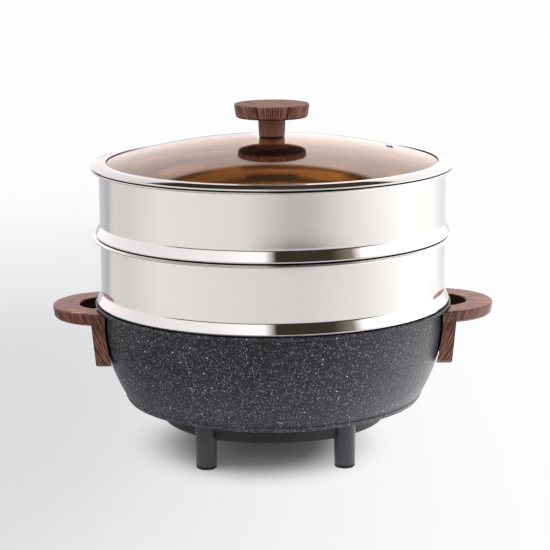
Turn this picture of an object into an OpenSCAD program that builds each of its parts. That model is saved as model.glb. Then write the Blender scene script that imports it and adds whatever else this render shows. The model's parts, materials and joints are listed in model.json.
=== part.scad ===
// Two-tier electric pot: a cast pot on four legs, two steaming tiers stacked on it and a domed glass lid.
// Millimetres, +Z up. The origin is on the floor under the pot's axis. The handles lie along X.
// The socket for the plug-in thermostat faces the rear, +Y.

/* [Pot] */
// Outer diameter of the pot's lip
lip_d = 323; // [300:1:345]
// Height of the lip's edge
lip_h = 4; // [3:0.5:6]
// How far the lip stands out from the wall
lip_out = 5.6; // [4:0.2:8]
// How far the lip's top lies below the seat of the tiers
lip_step = 1.2; // [0.6:0.1:1.8]
// Height of the pot from its underside to its lip
pot_h = 90; // [80:1:110]
// Thickness of the cast wall
pot_wall = 3.2; // [2.6:0.1:4.2]
// Thickness of the cast floor
pot_floor = 5; // [4:0.5:8]
// Straight height of the wall under the lip plane
wall_straight = 12; // [8:1:20]
// Radius of the curve that draws the wall in towards the floor
wall_curve = 142; // [136:2:220]
// Radius of the rounded edge inside, between wall and floor
edge_r = 8; // [5:0.5:14]
// Height of the heel, the ring that edges the underside
heel_h = 5; // [3:0.5:8]
// How far the heel steps out from the wall over it
heel_out = 0.3; // [0.2:0.1:1.2]

/* [Stand] */
// Height of the plinth's underside over the floor
ground_gap = 27; // [20:1:40]
// Height of the plinth
base_h = 20; // [16:1:28]
// How far the plinth's edge lies inside the lip's edge
base_inset = 59.3; // [53:0.1:66]
// Thickness of the plinth's shell
base_wall = 1.8; // [1.2:0.1:3]
// How far the legs' axes lie inside the plinth's edge
leg_in = 0.8; // [0:0.2:6]
// Direction of the legs from the line through the handles
leg_angle = 53; // [45:1:60]
// Diameter of a leg at its top
leg_d = 19.4; // [18.4:0.2:22]
// Diameter of a leg at its foot tip
leg_tip_d = 18.2; // [16:0.2:18.4]
// Height of the foot tip that shows
foot_h = 3; // [2:0.5:6]

/* [Handles] */
// How far a handle reaches beyond the lip
handle_reach = 39; // [32:1:50]
// Outer diameter of the handle's ring
ring_d = 102; // [92:1:112]
// Diameter of the finger hole in the ring
ring_hole_d = 53.6; // [46:0.4:60]
// Thickness of the ring
ring_t = 11; // [8:0.5:14]
// Depth of the ring's top below the lip plane
ring_drop = 4.5; // [4.5:0.5:8]
// Width of the back plate
plate_w = 98; // [86:1:98]
// Depth of the back plate's foot below the lip plane
plate_drop = 53.5; // [46:0.5:58]
// How far the back plate's face stands beyond the lip
plate_out = 0.8; // [0:0.2:3]
// How far the back plate's face leans in at its foot
plate_lean = 3.4; // [0:0.2:4]
// Air gap between the back plate and the pot's wall
plate_gap = 2.4; // [1:0.2:3]

/* [Tiers] */
// Height of a tier from its seat to its rim
tier_h = 61.1; // [50:0.1:80]
// How far the flared band's foot lies inside the pot's lip
band_inset = 1.5; // [0.5:0.1:3]
// How far the band flares out from the tier's wall
band_flare = 4.3; // [3:0.1:6]
// Height of the flared band
band_h = 9.5; // [8:0.5:15]
// How far the rolled rim stands out from the tier's wall
bead_out = 7; // [5:0.2:9]
// Height of the rolled rim
bead_h = 3.2; // [2.4:0.2:4]
// How far the rolled rim lies below the tier's top edge
bead_drop = 1.2; // [0.6:0.1:1.6]
// Thickness of the sheet steel
sheet = 0.8; // [0.6:0.1:1.2]
// Depth that a tier nests into what is below it
nest_h = 7; // [5:0.5:10]
// Gap between the nesting collar and the pot's mouth
nest_gap = 1.4; // [0.8:0.1:3]
// Diameter of a steam hole
steam_d = 6; // [4:0.5:8]
// Spacing of the rings of steam holes
steam_pitch = 20; // [16:0.5:22]

/* [Lid] */
// How far the steel rim reaches beyond the tier's rolled rim
lid_over = 0.3; // [-1:0.1:2]
// Height of the steel rim over its seat
rim_h = 3.3; // [2.8:0.1:5]
// Gap between the rim's skirt and the tier's wall
skirt_gap = 2.3; // [1:0.1:4]
// Height of the dome from the glass edge to its top
dome_rise = 22.3; // [14:0.5:40]
// Thickness of the glass
glass_t = 4; // [3.2:0.2:5]
// How far the steam vent lies inside the lid's edge
vent_inset = 55.7; // [38:0.1:103]
// Direction of the steam vent, from +X
vent_angle = 4.6; // [0:0.2:180]

/* [Knob] */
// Diameter of the knob's disc
knob_d = 67.4; // [50:0.2:80]
// Thickness of the knob's disc
knob_t = 12; // [8:0.5:16]
// Diameter of the knob's neck where it meets the lid
neck_d = 23.2; // [18:0.2:28]
// Height of the knob's neck
neck_h = 16.7; // [12:0.1:24]

/* [Hidden] */
$fn = 96;

// Clearances
seat_gap = 0.2;
slip = 0.1;
loose = 0.4;
thread_gap = 0.03;
// How far a cut runs past the face that it opens
past = 1;

// Levels
z_pot = ground_gap + base_h;
z_lip = z_pot + pot_h;
z_curve = z_lip - wall_straight;
z_tier1 = z_lip + seat_gap;
z_tier2 = z_tier1 + tier_h + seat_gap;
z_lid = z_tier2 + tier_h + seat_gap;

// Pot profile
lip_r = lip_d / 2;
wall_r = lip_r - lip_out;
lip_neck = 1.5;
lip_chamfer = 0.6;
lip_round = 0.6;
lip_seat = 0.4;
lip_gap = 0.8;
mouth_chamfer = 0.8;
curve_x = wall_r - wall_curve;
z_heel = z_pot + heel_h;
heel_r = wall_r_at(z_heel) + heel_out;
heel_a = atan2(z_heel - z_curve, wall_r_at(z_heel) - curve_x);
heel_step = 1.5;
heel_draft = 1.2;
heel_round = 1.5;
floor_z = z_pot + pot_floor;
curve_in = wall_curve - pot_wall;
edge_in_z = floor_z + edge_r;
edge_in_x = curve_x + sqrt(pow(curve_in - edge_r, 2) - pow(z_curve - edge_in_z, 2));
edge_in_a = atan2(edge_in_z - z_curve, edge_in_x - curve_x);

// Stand
base_d = lip_d - 2 * base_inset;
leg_out = base_d / 2 - leg_in;
leg_x = leg_out * cos(leg_angle);
leg_y = leg_out * sin(leg_angle);
leg_boss_d = 14;
leg_boss_h = 10;
leg_screw_d = 5;
leg_screw_head_d = 9;
leg_screw_head_h = 4;
leg_web = 7;
leg_screw_bite = 12;
foot_plug_d = 10.6;
foot_plug_h = 9;
foot_chamfer = 1;
base_boss_d = 9;
base_screw_d = 4;
base_screw_head_d = 7.4;
base_screw_head_h = 2.4;
base_screw_r = base_d / 2 - 17;
base_screw_bite = 10;
base_screw_angles = [0, 180, 270];
base_edge_r = 2;
base_vents = 12;
base_vent_r = 34;
base_vent_len = 16;
base_vent_w = 3;

// Heater and inlet
tube_d = 7.5;
elbow_d = 9;
heater_r = 62;
ridge_w = 12;
ridge_gap = 19;
pin_x = 13;
pin_d = 5;
pin_root_d = 4.4;
pin_len = 30;
pin_tip = 1;
pin_z = z_pot - 8.5;
inlet_y = base_d / 2 - base_wall;
inlet_w = 50;
inlet_depth = 34;
inlet_wall = 2.5;
inlet_back = 8;
bush_d = 10;
probe_d = 7;
probe_bore_d = 5.2;
probe_len = 80;
probe_end = 2;
inlet_corner = 4;
probe_pad_w = 10;
probe_pad_len = 36;

// Handles
ring_x = lip_r + handle_reach - ring_d / 2;
ring_top = z_lip - ring_drop;
ring_low = ring_top - ring_t;
ring_round = 1.6;
ring_under = 1.2;
plate_foot = z_lip - plate_drop;
plate_face = lip_r + plate_out;
plate_round = 6;
lug_y = 30;
lug_drop = 37;
lug_z = z_lip - lug_drop;
lug_d = 12;
lug_seat = 1.6;
lug_out = plate_gap + lug_seat;
lug_root = 0.55 * pot_wall;
lug_x = sqrt(pow(wall_r_at(lug_z), 2) - lug_y * lug_y);
handle_screw_d = 4;
handle_screw_head_d = 8;
handle_screw_head_h = 2.6;
handle_screw_sink = 3;
handle_screw_bite = 5;
screw_seat_x = face_x(lug_z) - handle_screw_sink;

// Tiers
band_r = lip_r - band_inset;
tier_r = band_r - band_flare;
bead_r = tier_r + bead_out;
nest_r = wall_r - pot_wall - nest_gap;
ledge_w = 8;
ledge_r = nest_r - ledge_w;
crease = 0.7;
crease_h = 0.3;
band_chamfer = 0.4;
band_edge = 1.2;
rim_points = 6;
rim_seat_w = 3.2;
plate_r = nest_r - sheet - loose;
steam_rings = floor((ledge_r - steam_d) / steam_pitch);
steam_step = 6;
steam_sides = 24;

// Lid
lid_r = bead_r + lid_over;
rim_sheet = 0.8;
seal_t = 0.8;
seal_show = 0.6;
skirt_r = tier_r - sheet - skirt_gap;
skirt_in_r = skirt_r - rim_sheet;
glass_r = skirt_in_r - seal_t;
dome_r = (glass_r * glass_r + dome_rise * dome_rise) / (2 * dome_rise);
glass_sit = 1.6;
glass_edge_z = z_lid + glass_sit;
dome_z = glass_edge_z + dome_rise - dome_r;
apex_z = glass_edge_z + dome_rise;
rim_lap = 1.7;
rim_in_r = glass_r - rim_lap;
rim_edge_h = 1;
rim_chamfer = 0.5;
rim_crown = 10;
seal_top = max(z_lid + rim_h - rim_sheet, dome_top(rim_in_r - seal_show) + slip);
skirt_h = 6;
catch_w = 2.2;
glass_low_z = dome_z + sqrt(pow(dome_r - glass_t, 2) - glass_r * glass_r);
vent_flange_d = 8.6;
vent_shank_d = 5;
vent_bore_d = 3;
vent_flange_t = 0.7;
vent_flange_draft = 0.7;
vent_r = lid_r - vent_inset;
vent_tilt = asin(vent_r / dome_r);

// Knob
washer_t = 0.8;
washer_inset = 0.4;
washer_d = neck_d - 2 * washer_inset;
knob_z = apex_z + washer_t;
knob_draft = 1.4;
knob_round = 1.2;
neck_flare = 0.7;
neck_fillet = 2;
knob_screw_d = 5;
knob_screw_bite = 13;
knob_screw_head_d = 10;
knob_screw_head_h = 3;
inner_washer_d = 20;
inner_washer_t = 1.2;
glass_hole_d = 8;

// Points along an arc round [x, z], from angle a to angle b
function arc(x, z, r, a, b, n) =
    [for (i = [0 : n])
        let (t = a + (b - a) * i / n)
            [x + r * cos(t), z + r * sin(t)]];

// Outer radius of the pot's wall at a height
function wall_r_at(z) = z >= z_curve ? wall_r : curve_x + sqrt(pow(wall_curve, 2) - pow(z_curve - z, 2));

// Place of a handle plate's outer face at a height
function face_x(z) = plate_face - plate_lean * max(0, ring_low - z) / (ring_low - plate_foot);

// Height of the glass's outer face at a radius
function dome_top(r) = dome_z + sqrt(dome_r * dome_r - r * r);

// Room that a handle leaves for the pot: an air gap along the wall and a smaller one round the lip
module pot_room() {
    polygon(concat(
        [[0, z_heel]],
        arc(curve_x, z_curve, wall_curve + plate_gap, heel_a, 0, 16),
        [[wall_r + plate_gap, z_lip - lip_h - lip_neck - lip_gap],
         [lip_r + lip_gap, z_lip - lip_h - lip_gap],
         [lip_r + lip_gap, z_lip],
         [0, z_lip]]));
}

// A straight round rod between two points
module rod(from, to, d) {
    run = to - from;
    translate(from)
        rotate([0, acos(run.z / norm(run)), atan2(run.y, run.x)])
            cylinder(d = d, h = norm(run));
}

// One child at each leg
module at_legs() {
    for (sx = [-1, 1], sy = [-1, 1])
        translate([sx * leg_x, sy * leg_y, 0])
            children();
}

// One child at each screw of the plinth
module at_base_screws() {
    for (a = base_screw_angles)
        rotate(a)
            translate([base_screw_r, 0, 0])
                children();
}

// One child at each handle screw of the right handle, its axis along +X
module at_lugs() {
    for (sy = [-1, 1])
        translate([0, sy * lug_y, lug_z])
            rotate([0, 90, 0])
                children();
}

module pot_shell() {
    rotate_extrude()
        polygon(concat(
            [[0, z_pot]],
            arc(heel_r - heel_draft - heel_round, z_pot + heel_round, heel_round, -90, 0, 4),
            [[heel_r, z_heel - heel_step]],
            arc(curve_x, z_curve, wall_curve, heel_a, 0, 16),
            [[wall_r, z_lip - lip_h - lip_neck],
             [lip_r - lip_chamfer, z_lip - lip_h],
             [lip_r, z_lip - lip_h + lip_chamfer],
             [lip_r, z_lip - lip_step - lip_round],
             [lip_r - lip_round, z_lip - lip_step],
             [wall_r + lip_seat, z_lip - lip_step],
             [wall_r + lip_seat, z_lip],
             [wall_r - pot_wall + mouth_chamfer, z_lip],
             [wall_r - pot_wall, z_lip - mouth_chamfer]],
            arc(curve_x, z_curve, curve_in, 0, edge_in_a, 16),
            arc(edge_in_x, edge_in_z, edge_r, edge_in_a, -90, 6),
            [[0, floor_z]]));
}

module pot_body() {
    color("#3a3d41")
        difference() {
            union() {
                pot_shell();
                at_legs()
                    translate([0, 0, z_pot - leg_boss_h])
                        cylinder(d = leg_boss_d, h = leg_boss_h + pot_floor / 2);
                at_base_screws()
                    translate([0, 0, ground_gap + base_wall])
                        cylinder(d = base_boss_d, h = base_h - base_wall + pot_floor / 2);
                for (side = [0, 180])
                    rotate(side)
                        at_lugs()
                            translate([0, 0, lug_x - lug_root])
                                cylinder(d = lug_d, h = lug_out + lug_root);
                probe_pad();
                heater_ridge();
            }
            at_legs()
                translate([0, 0, z_pot - leg_boss_h - past])
                    cylinder(d = leg_screw_d + 2 * thread_gap, h = leg_screw_bite + past + slip);
            at_base_screws()
                translate([0, 0, ground_gap])
                    cylinder(d = base_screw_d + 2 * thread_gap, h = base_wall + base_screw_bite + slip);
            for (side = [0, 180])
                rotate(side)
                    at_lugs()
                        translate([0, 0, lug_x + lug_out - handle_screw_bite - slip])
                            cylinder(d = handle_screw_d + 2 * thread_gap,
                                h = handle_screw_bite + past + slip);
        }
}

// Cast pad under the floor that the probe sleeve lies against
module probe_pad() {
    pad_low = pin_z + probe_d / 2 + slip;
    translate([-probe_pad_w / 2, inlet_y + inlet_back - probe_len, pad_low])
        cube([probe_pad_w, probe_pad_len, z_pot + pot_floor / 2 - pad_low]);
}

// Cast ridge under the floor that the heating tube lies against, left out behind the inlet
module heater_ridge() {
    ridge_low = pin_z + tube_d / 2 + slip;
    rotate(90 + ridge_gap)
        rotate_extrude(angle = 360 - 2 * ridge_gap)
            translate([heater_r - ridge_w / 2, ridge_low])
                square([ridge_w, z_pot + pot_floor / 2 - ridge_low]);
}

// Open ring of tube, joined by brazed elbows to straight ends that run out to the inlet
module heating_element() {
    elbow_a = asin(pin_x / heater_r);
    elbow_y = heater_r * cos(elbow_a);
    color("#8f8a82") {
        translate([0, 0, pin_z])
            rotate(90 + elbow_a)
                rotate_extrude(angle = 360 - 2 * elbow_a)
                    translate([heater_r, 0])
                        circle(d = tube_d, $fn = 32);
        for (sx = [-1, 1]) {
            translate([sx * pin_x, elbow_y, pin_z])
                sphere(d = elbow_d, $fn = 32);
            rod([sx * pin_x, elbow_y, pin_z], [sx * pin_x, inlet_y, pin_z], tube_d);
        }
    }
}

// Contact pins, waisted where they pass through their insulators
module power_pins() {
    root = inlet_back + loose;
    color("#c9c7c0")
        for (sx = [-1, 1])
            translate([sx * pin_x, inlet_y, pin_z])
                rotate([-90, 0, 0])
                    rotate_extrude()
                        polygon([[0, 0], [pin_root_d / 2, 0], [pin_root_d / 2, root], [pin_d / 2, root],
                            [pin_d / 2, pin_len - pin_tip], [pin_d / 2 - pin_tip, pin_len], [0, pin_len]]);
}

module pin_bushings() {
    color("#e8e4da")
        for (sx = [-1, 1])
            translate([sx * pin_x, inlet_y, pin_z])
                rotate([-90, 0, 0])
                    difference() {
                        cylinder(d = bush_d, h = inlet_back);
                        translate([0, 0, -past])
                            cylinder(d = pin_root_d + 2 * thread_gap, h = inlet_back + 2 * past);
                    }
}

module probe_sleeve() {
    color("#b9b9b4")
        translate([0, inlet_y + inlet_back, pin_z])
            rotate([90, 0, 0])
                difference() {
                    cylinder(d = probe_d, h = probe_len);
                    translate([0, 0, -past])
                        cylinder(d = probe_bore_d, h = probe_len - probe_end + past);
                }
}

module inlet_shroud() {
    low = ground_gap + slip;
    tall = base_h - loose - slip;
    front = inlet_y - past;
    back = inlet_y + inlet_back + past;
    color("#1c1c1e")
        difference() {
            translate([0, inlet_y, low]) {
                translate([-inlet_w / 2, 0, inlet_corner])
                    cube([inlet_w, inlet_depth, tall - inlet_corner]);
                translate([-inlet_w / 2 + inlet_corner, 0, 0])
                    cube([inlet_w - 2 * inlet_corner, inlet_depth, tall]);
                for (sx = [-1, 1])
                    translate([sx * (inlet_w / 2 - inlet_corner), 0, inlet_corner])
                        rotate([-90, 0, 0])
                            cylinder(r = inlet_corner, h = inlet_depth);
            }
            translate([-inlet_w / 2 + inlet_wall, inlet_y + inlet_back, low + inlet_wall])
                cube([inlet_w - 2 * inlet_wall, inlet_depth, tall - 2 * inlet_wall]);
            for (sx = [-1, 1])
                rod([sx * pin_x, front, pin_z], [sx * pin_x, back, pin_z], bush_d + 2 * slip);
            rod([0, front, pin_z], [0, back, pin_z], probe_d + 2 * slip);
        }
}

module base_cover() {
    top = z_pot - slip;
    color("#1d1e20")
        difference() {
            rotate_extrude()
                polygon(concat(
                    [[0, ground_gap]],
                    arc(base_d / 2 - base_edge_r, ground_gap + base_edge_r, base_edge_r, -90, 0, 4),
                    [[base_d / 2, top],
                     [base_d / 2 - base_wall, top],
                     [base_d / 2 - base_wall, ground_gap + base_wall],
                     [0, ground_gap + base_wall]]));
            at_legs()
                cylinder(d = leg_d + 2 * loose, h = z_pot);
            at_base_screws()
                translate([0, 0, ground_gap - past])
                    cylinder(d = base_screw_d + 2 * slip, h = base_wall + 2 * past);
            translate([-inlet_w / 2 - loose, inlet_y - base_wall - loose, ground_gap - past])
                cube([inlet_w + 2 * loose, inlet_depth, base_h + 2 * past]);
            for (i = [0 : base_vents - 1])
                rotate(i * 360 / base_vents)
                    translate([base_vent_r, 0, ground_gap - past])
                        vent_slot();
        }
}

// Round-ended slot that runs outwards
module vent_slot() {
    for (x = [0, base_vent_len - base_vent_w])
        translate([x, 0, 0])
            cylinder(d = base_vent_w, h = base_wall + 2 * past);
    translate([0, -base_vent_w / 2, 0])
        cube([base_vent_len - base_vent_w, base_vent_w, base_wall + 2 * past]);
}

module base_screws() {
    color("#a8a8a6")
        at_base_screws()
            translate([0, 0, ground_gap]) {
                translate([0, 0, -base_screw_head_h])
                    cylinder(d = base_screw_head_d, h = base_screw_head_h);
                cylinder(d = base_screw_d, h = base_wall + base_screw_bite);
            }
}

// Tapered leg: a pocket for the pot's boss at its top, a screw seat inside and a socket for the foot tip
module leg(sx, sy) {
    boss_z = z_pot - leg_boss_h;
    seat_z = boss_z - leg_web;
    color("#3f4043")
        translate([sx * leg_x, sy * leg_y, 0])
            rotate_extrude()
                polygon([[foot_plug_d / 2 + slip, foot_h], [leg_tip_d / 2, foot_h],
                    [leg_d / 2, z_pot - slip], [leg_boss_d / 2 + slip, z_pot - slip],
                    [leg_boss_d / 2 + slip, boss_z - slip],
                    [leg_screw_d / 2 + slip, boss_z - slip], [leg_screw_d / 2 + slip, seat_z],
                    [foot_plug_d / 2 + slip, seat_z]]);
}

// Rubber foot tip with a plug that fills the leg's socket
module foot(sx, sy) {
    color("#19191a")
        translate([sx * leg_x, sy * leg_y, 0])
            rotate_extrude()
                polygon([[0, 0], [leg_tip_d / 2 - foot_chamfer, 0], [leg_tip_d / 2, foot_chamfer],
                    [leg_tip_d / 2, foot_h], [foot_plug_d / 2, foot_h],
                    [foot_plug_d / 2, foot_h + foot_plug_h], [0, foot_h + foot_plug_h]]);
}

module leg_screws() {
    seat_z = z_pot - leg_boss_h - leg_web;
    color("#a8a8a6")
        at_legs() {
            translate([0, 0, seat_z - leg_screw_head_h])
                cylinder(d = leg_screw_head_d, h = leg_screw_head_h);
            translate([0, 0, seat_z])
                cylinder(d = leg_screw_d, h = leg_web + leg_screw_bite);
        }
}

// Disc of the right handle, its side drawn in towards the underside
module handle_disc() {
    out = ring_d / 2;
    translate([ring_x, 0, 0])
        rotate_extrude()
            polygon(concat(
                [[0, ring_low], [out - ring_under - ring_round, ring_low],
                 [out - ring_under, ring_low + ring_round]],
                arc(out - ring_round, ring_top - ring_round, ring_round, 0, 90, 4),
                [[0, ring_top]]));
}

// Finger hole that makes the disc a ring: round at its upper edge, wider below, open towards the pot
module finger_hole() {
    hole = ring_hole_d / 2;
    translate([ring_x, 0, 0])
        rotate_extrude()
            polygon(concat(
                [[0, ring_low - slip], [hole + ring_under, ring_low - slip]],
                arc(hole + ring_round, ring_top - ring_round, ring_round, 180, 90, 4),
                [[hole + ring_round, ring_top + past], [0, ring_top + past]]));
}

// Back plate of the right handle, flat outside and with round lower corners
module handle_plate() {
    half = plate_w / 2;
    inner_x = sqrt(pow(wall_r_at(plate_foot), 2) - half * half) - pot_wall;
    intersection() {
        translate([0, half, 0])
            rotate([90, 0, 0])
                linear_extrude(plate_w)
                    polygon([[inner_x, plate_foot], [face_x(plate_foot) - ring_round, plate_foot],
                        [face_x(plate_foot), plate_foot + ring_round], [plate_face, ring_low],
                        [plate_face, ring_top], [inner_x, ring_top]]);
        translate([inner_x, 0, 0])
            rotate([90, 0, 90])
                linear_extrude(plate_face)
                    union() {
                        for (sy = [-1, 1])
                            translate([sy * (half - plate_round), plate_foot + plate_round])
                                circle(r = plate_round);
                        translate([-half + plate_round, plate_foot])
                            square([plate_w - 2 * plate_round, ring_top - plate_foot]);
                        translate([-half, plate_foot + plate_round])
                            square([plate_w, ring_top - plate_foot - plate_round]);
                    }
    }
}

module handle_right_solid() {
    difference() {
        union() {
            handle_disc();
            handle_plate();
        }
        finger_hole();
        rotate_extrude()
            pot_room();
        at_lugs()
            cylinder(d = lug_d + 2 * slip, h = lug_x + lug_out + slip);
        at_lugs()
            cylinder(d = handle_screw_d + 2 * slip, h = plate_face + past);
        at_lugs()
            translate([0, 0, screw_seat_x])
                cylinder(d = handle_screw_head_d + 2 * loose, h = plate_face);
    }
}

module handle_screws_solid() {
    color("#a8a8a6")
        at_lugs() {
            translate([0, 0, screw_seat_x])
                cylinder(d = handle_screw_head_d, h = handle_screw_head_h);
            translate([0, 0, lug_x + lug_out - handle_screw_bite])
                cylinder(d = handle_screw_d, h = screw_seat_x - lug_x - lug_out + handle_screw_bite + slip);
        }
}

module handle_right() {
    color("#5a3428")
        handle_right_solid();
}

module handle_left() {
    color("#5a3428")
        rotate(180)
            handle_right_solid();
}

module handle_screws_right() {
    handle_screws_solid();
}

module handle_screws_left() {
    rotate(180)
        handle_screws_solid();
}

// Drawn and rolled sheet: ledge, nesting collar, seat, flared band, wall and rolled rim
module tier_shell(z) {
    roll = (bead_h - bead_drop) / 2;
    color("#cfd0d0")
        translate([0, 0, z])
            rotate_extrude($fn = 180)
                polygon(concat(
                    [[ledge_r, -nest_h], [nest_r, -nest_h], [nest_r, 0],
                     [band_r - band_chamfer, 0], [band_r, band_chamfer], [band_r, band_edge],
                     [tier_r + crease, band_h], [tier_r, band_h + crease_h], [tier_r, tier_h - bead_h]],
                    arc(bead_r - roll, tier_h - bead_drop - roll, roll, -90, 90, rim_points),
                    [[tier_r + rim_seat_w, tier_h], [tier_r - sheet, tier_h], [tier_r - sheet, band_h],
                     [band_r - band_edge, band_edge], [band_r - band_edge, sheet],
                     [nest_r - sheet, sheet], [nest_r - sheet, sheet - nest_h], [ledge_r, sheet - nest_h]]));
}

// Perforated floor: a hole at the centre, then rings that each have steam_step more holes than the last
module steam_plate(z) {
    color("#c4c5c6")
        translate([0, 0, z - nest_h + sheet])
            difference() {
                cylinder(r = plate_r, h = sheet, $fn = 180);
                steam_hole();
                for (ring = [1 : steam_rings])
                    for (i = [1 : steam_step * ring])
                        rotate(i * 360 / (steam_step * ring))
                            translate([ring * steam_pitch, 0, 0])
                                steam_hole();
            }
}

module steam_hole() {
    translate([0, 0, -past])
        cylinder(d = steam_d, h = sheet + 2 * past, $fn = steam_sides);
}

module lower_tier_shell() {
    tier_shell(z_tier1);
}

module lower_steam_plate() {
    steam_plate(z_tier1);
}

module upper_tier_shell() {
    tier_shell(z_tier2);
}

module upper_steam_plate() {
    steam_plate(z_tier2);
}

// One child at the vent, its axis square to the glass and its origin on the outer face
module at_vent() {
    rotate(vent_angle)
        translate([vent_r, 0, dome_top(vent_r)])
            rotate([0, vent_tilt, 0])
                children();
}

module lid_glass() {
    color("#8a5a30", 0.6)
        difference() {
            intersection() {
                translate([0, 0, dome_z])
                    sphere(r = dome_r, $fn = 180);
                translate([0, 0, glass_low_z])
                    cylinder(r = glass_r, h = dome_rise + glass_t + past, $fn = 180);
            }
            translate([0, 0, dome_z])
                sphere(r = dome_r - glass_t, $fn = 180);
            translate([0, 0, apex_z - 2 * glass_t])
                cylinder(d = glass_hole_d, h = 3 * glass_t);
            at_vent()
                translate([0, 0, -2 * glass_t])
                    cylinder(d = vent_shank_d + 2 * slip, h = 3 * glass_t);
        }
}

// Steel band: a rounded crown on the tier's rim, a skirt inside it and a catch under the glass
module lid_rim() {
    catch_z = glass_low_z - seal_t;
    crown_h = seal_top + rim_sheet - z_lid - rim_edge_h;
    color("#d2d2d2")
        rotate_extrude($fn = 180)
            polygon(concat(
                [for (i = [0 : rim_crown])
                    let (t = 90 * i / rim_crown)
                        [rim_in_r + (lid_r - rim_in_r) * sin(t), z_lid + rim_edge_h + crown_h * cos(t)]],
                [[lid_r - rim_chamfer, z_lid], [skirt_r, z_lid],
                 [skirt_r, z_lid - skirt_h], [skirt_in_r, z_lid - skirt_h],
                 [skirt_in_r, catch_z - rim_sheet], [skirt_in_r - catch_w, catch_z - rim_sheet],
                 [skirt_in_r - catch_w, catch_z], [skirt_in_r, catch_z], [skirt_in_r, seal_top],
                 [rim_in_r, seal_top]]));
}

// Silicone channel between the glass edge and the steel band
module lid_seal() {
    in_r = rim_in_r - seal_show;
    low = glass_low_z - seal_t;
    color("#161412")
        rotate_extrude($fn = 180)
            polygon([[in_r, dome_top(in_r)], [in_r, seal_top], [skirt_in_r, seal_top],
                [skirt_in_r, low], [skirt_in_r - catch_w, low], [skirt_in_r - catch_w, glass_low_z],
                [glass_r, glass_low_z], [glass_r, glass_edge_z]]);
}

module vent_grommet() {
    color("#c8c8c6")
        at_vent()
            difference() {
                union() {
                    translate([0, 0, slip])
                        cylinder(d1 = vent_flange_d, d2 = vent_flange_d - 2 * vent_flange_draft,
                            h = vent_flange_t);
                    translate([0, 0, -glass_t - slip - vent_flange_t])
                        cylinder(d = vent_flange_d, h = vent_flange_t);
                    translate([0, 0, -glass_t - slip - vent_flange_t / 2])
                        cylinder(d = vent_shank_d, h = glass_t + 2 * slip + vent_flange_t);
                }
                translate([0, 0, -2 * glass_t])
                    cylinder(d = vent_bore_d, h = 4 * glass_t);
            }
}

module knob() {
    top = knob_z + neck_h + knob_t;
    under = knob_z + neck_h;
    color("#5f382b")
        difference() {
            rotate_extrude()
                polygon(concat(
                    [[0, knob_z], [neck_d / 2, knob_z], [neck_d / 2 + neck_flare, under - neck_fillet],
                     [neck_d / 2 + neck_flare + neck_fillet, under],
                     [knob_d / 2 - knob_draft - knob_round, under],
                     [knob_d / 2 - knob_draft, under + knob_round]],
                    arc(knob_d / 2 - knob_round, top - knob_round, knob_round, 0, 90, 4),
                    [[0, top]]));
            translate([0, 0, knob_z - past])
                cylinder(d = knob_screw_d + 2 * thread_gap, h = knob_screw_bite + past + slip);
        }
}

module knob_washer() {
    color("#1a1816")
        translate([0, 0, apex_z])
            difference() {
                cylinder(d = washer_d, h = washer_t);
                translate([0, 0, -past])
                    cylinder(d = knob_screw_d + 2 * slip, h = washer_t + 2 * past);
            }
}

module inner_washer() {
    color("#1a1816")
        translate([0, 0, apex_z - glass_t - inner_washer_t - slip])
            difference() {
                cylinder(d = inner_washer_d, h = inner_washer_t);
                translate([0, 0, -past])
                    cylinder(d = knob_screw_d + 2 * slip, h = inner_washer_t + 2 * past);
            }
}

module knob_screw() {
    seat_z = apex_z - glass_t - inner_washer_t - slip;
    color("#b4b4b2") {
        translate([0, 0, seat_z - knob_screw_head_h])
            cylinder(d = knob_screw_head_d, h = knob_screw_head_h);
        translate([0, 0, seat_z])
            cylinder(d = knob_screw_d, h = knob_z + knob_screw_bite - seat_z);
    }
}

pot_body();
heating_element();
power_pins();
pin_bushings();
probe_sleeve();
inlet_shroud();
base_cover();
base_screws();
leg(-1, -1);  // leg_front_left
leg(1, -1);  // leg_front_right
leg(-1, 1);  // leg_rear_left
leg(1, 1);  // leg_rear_right
foot(-1, -1);  // foot_front_left
foot(1, -1);  // foot_front_right
foot(-1, 1);  // foot_rear_left
foot(1, 1);  // foot_rear_right
leg_screws();
handle_left();
handle_right();
handle_screws_left();
handle_screws_right();
lower_tier_shell();
lower_steam_plate();
upper_tier_shell();
upper_steam_plate();
lid_glass();
lid_rim();
lid_seal();
vent_grommet();
knob();
knob_washer();
inner_washer();
knob_screw();
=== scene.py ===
# Looks of a two-tier electric pot: a stone-coated pot on legs, two steel steaming tiers and a glass lid.
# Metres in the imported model's own frame: +Z up, handles along X, inlet at the rear (+Y), camera at the front.
import json
import math

import bmesh
import bpy
from mathutils import Matrix, Vector


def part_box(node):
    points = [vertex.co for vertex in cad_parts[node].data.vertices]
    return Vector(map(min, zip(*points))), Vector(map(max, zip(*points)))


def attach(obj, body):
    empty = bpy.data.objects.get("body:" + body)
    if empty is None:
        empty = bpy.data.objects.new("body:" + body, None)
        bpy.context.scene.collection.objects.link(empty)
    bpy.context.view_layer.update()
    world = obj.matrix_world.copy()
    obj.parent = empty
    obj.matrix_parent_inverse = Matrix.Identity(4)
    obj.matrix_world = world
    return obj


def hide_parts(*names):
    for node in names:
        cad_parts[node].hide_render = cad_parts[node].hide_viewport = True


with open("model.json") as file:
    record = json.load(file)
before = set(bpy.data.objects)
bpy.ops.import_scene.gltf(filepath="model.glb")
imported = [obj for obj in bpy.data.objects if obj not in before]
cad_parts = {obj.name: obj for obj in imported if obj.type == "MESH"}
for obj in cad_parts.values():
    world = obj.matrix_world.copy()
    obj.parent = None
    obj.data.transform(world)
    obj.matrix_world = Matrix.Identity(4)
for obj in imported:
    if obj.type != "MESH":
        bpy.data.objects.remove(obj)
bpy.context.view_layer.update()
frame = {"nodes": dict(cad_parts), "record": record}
MM = 0.001


# Small tools

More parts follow.
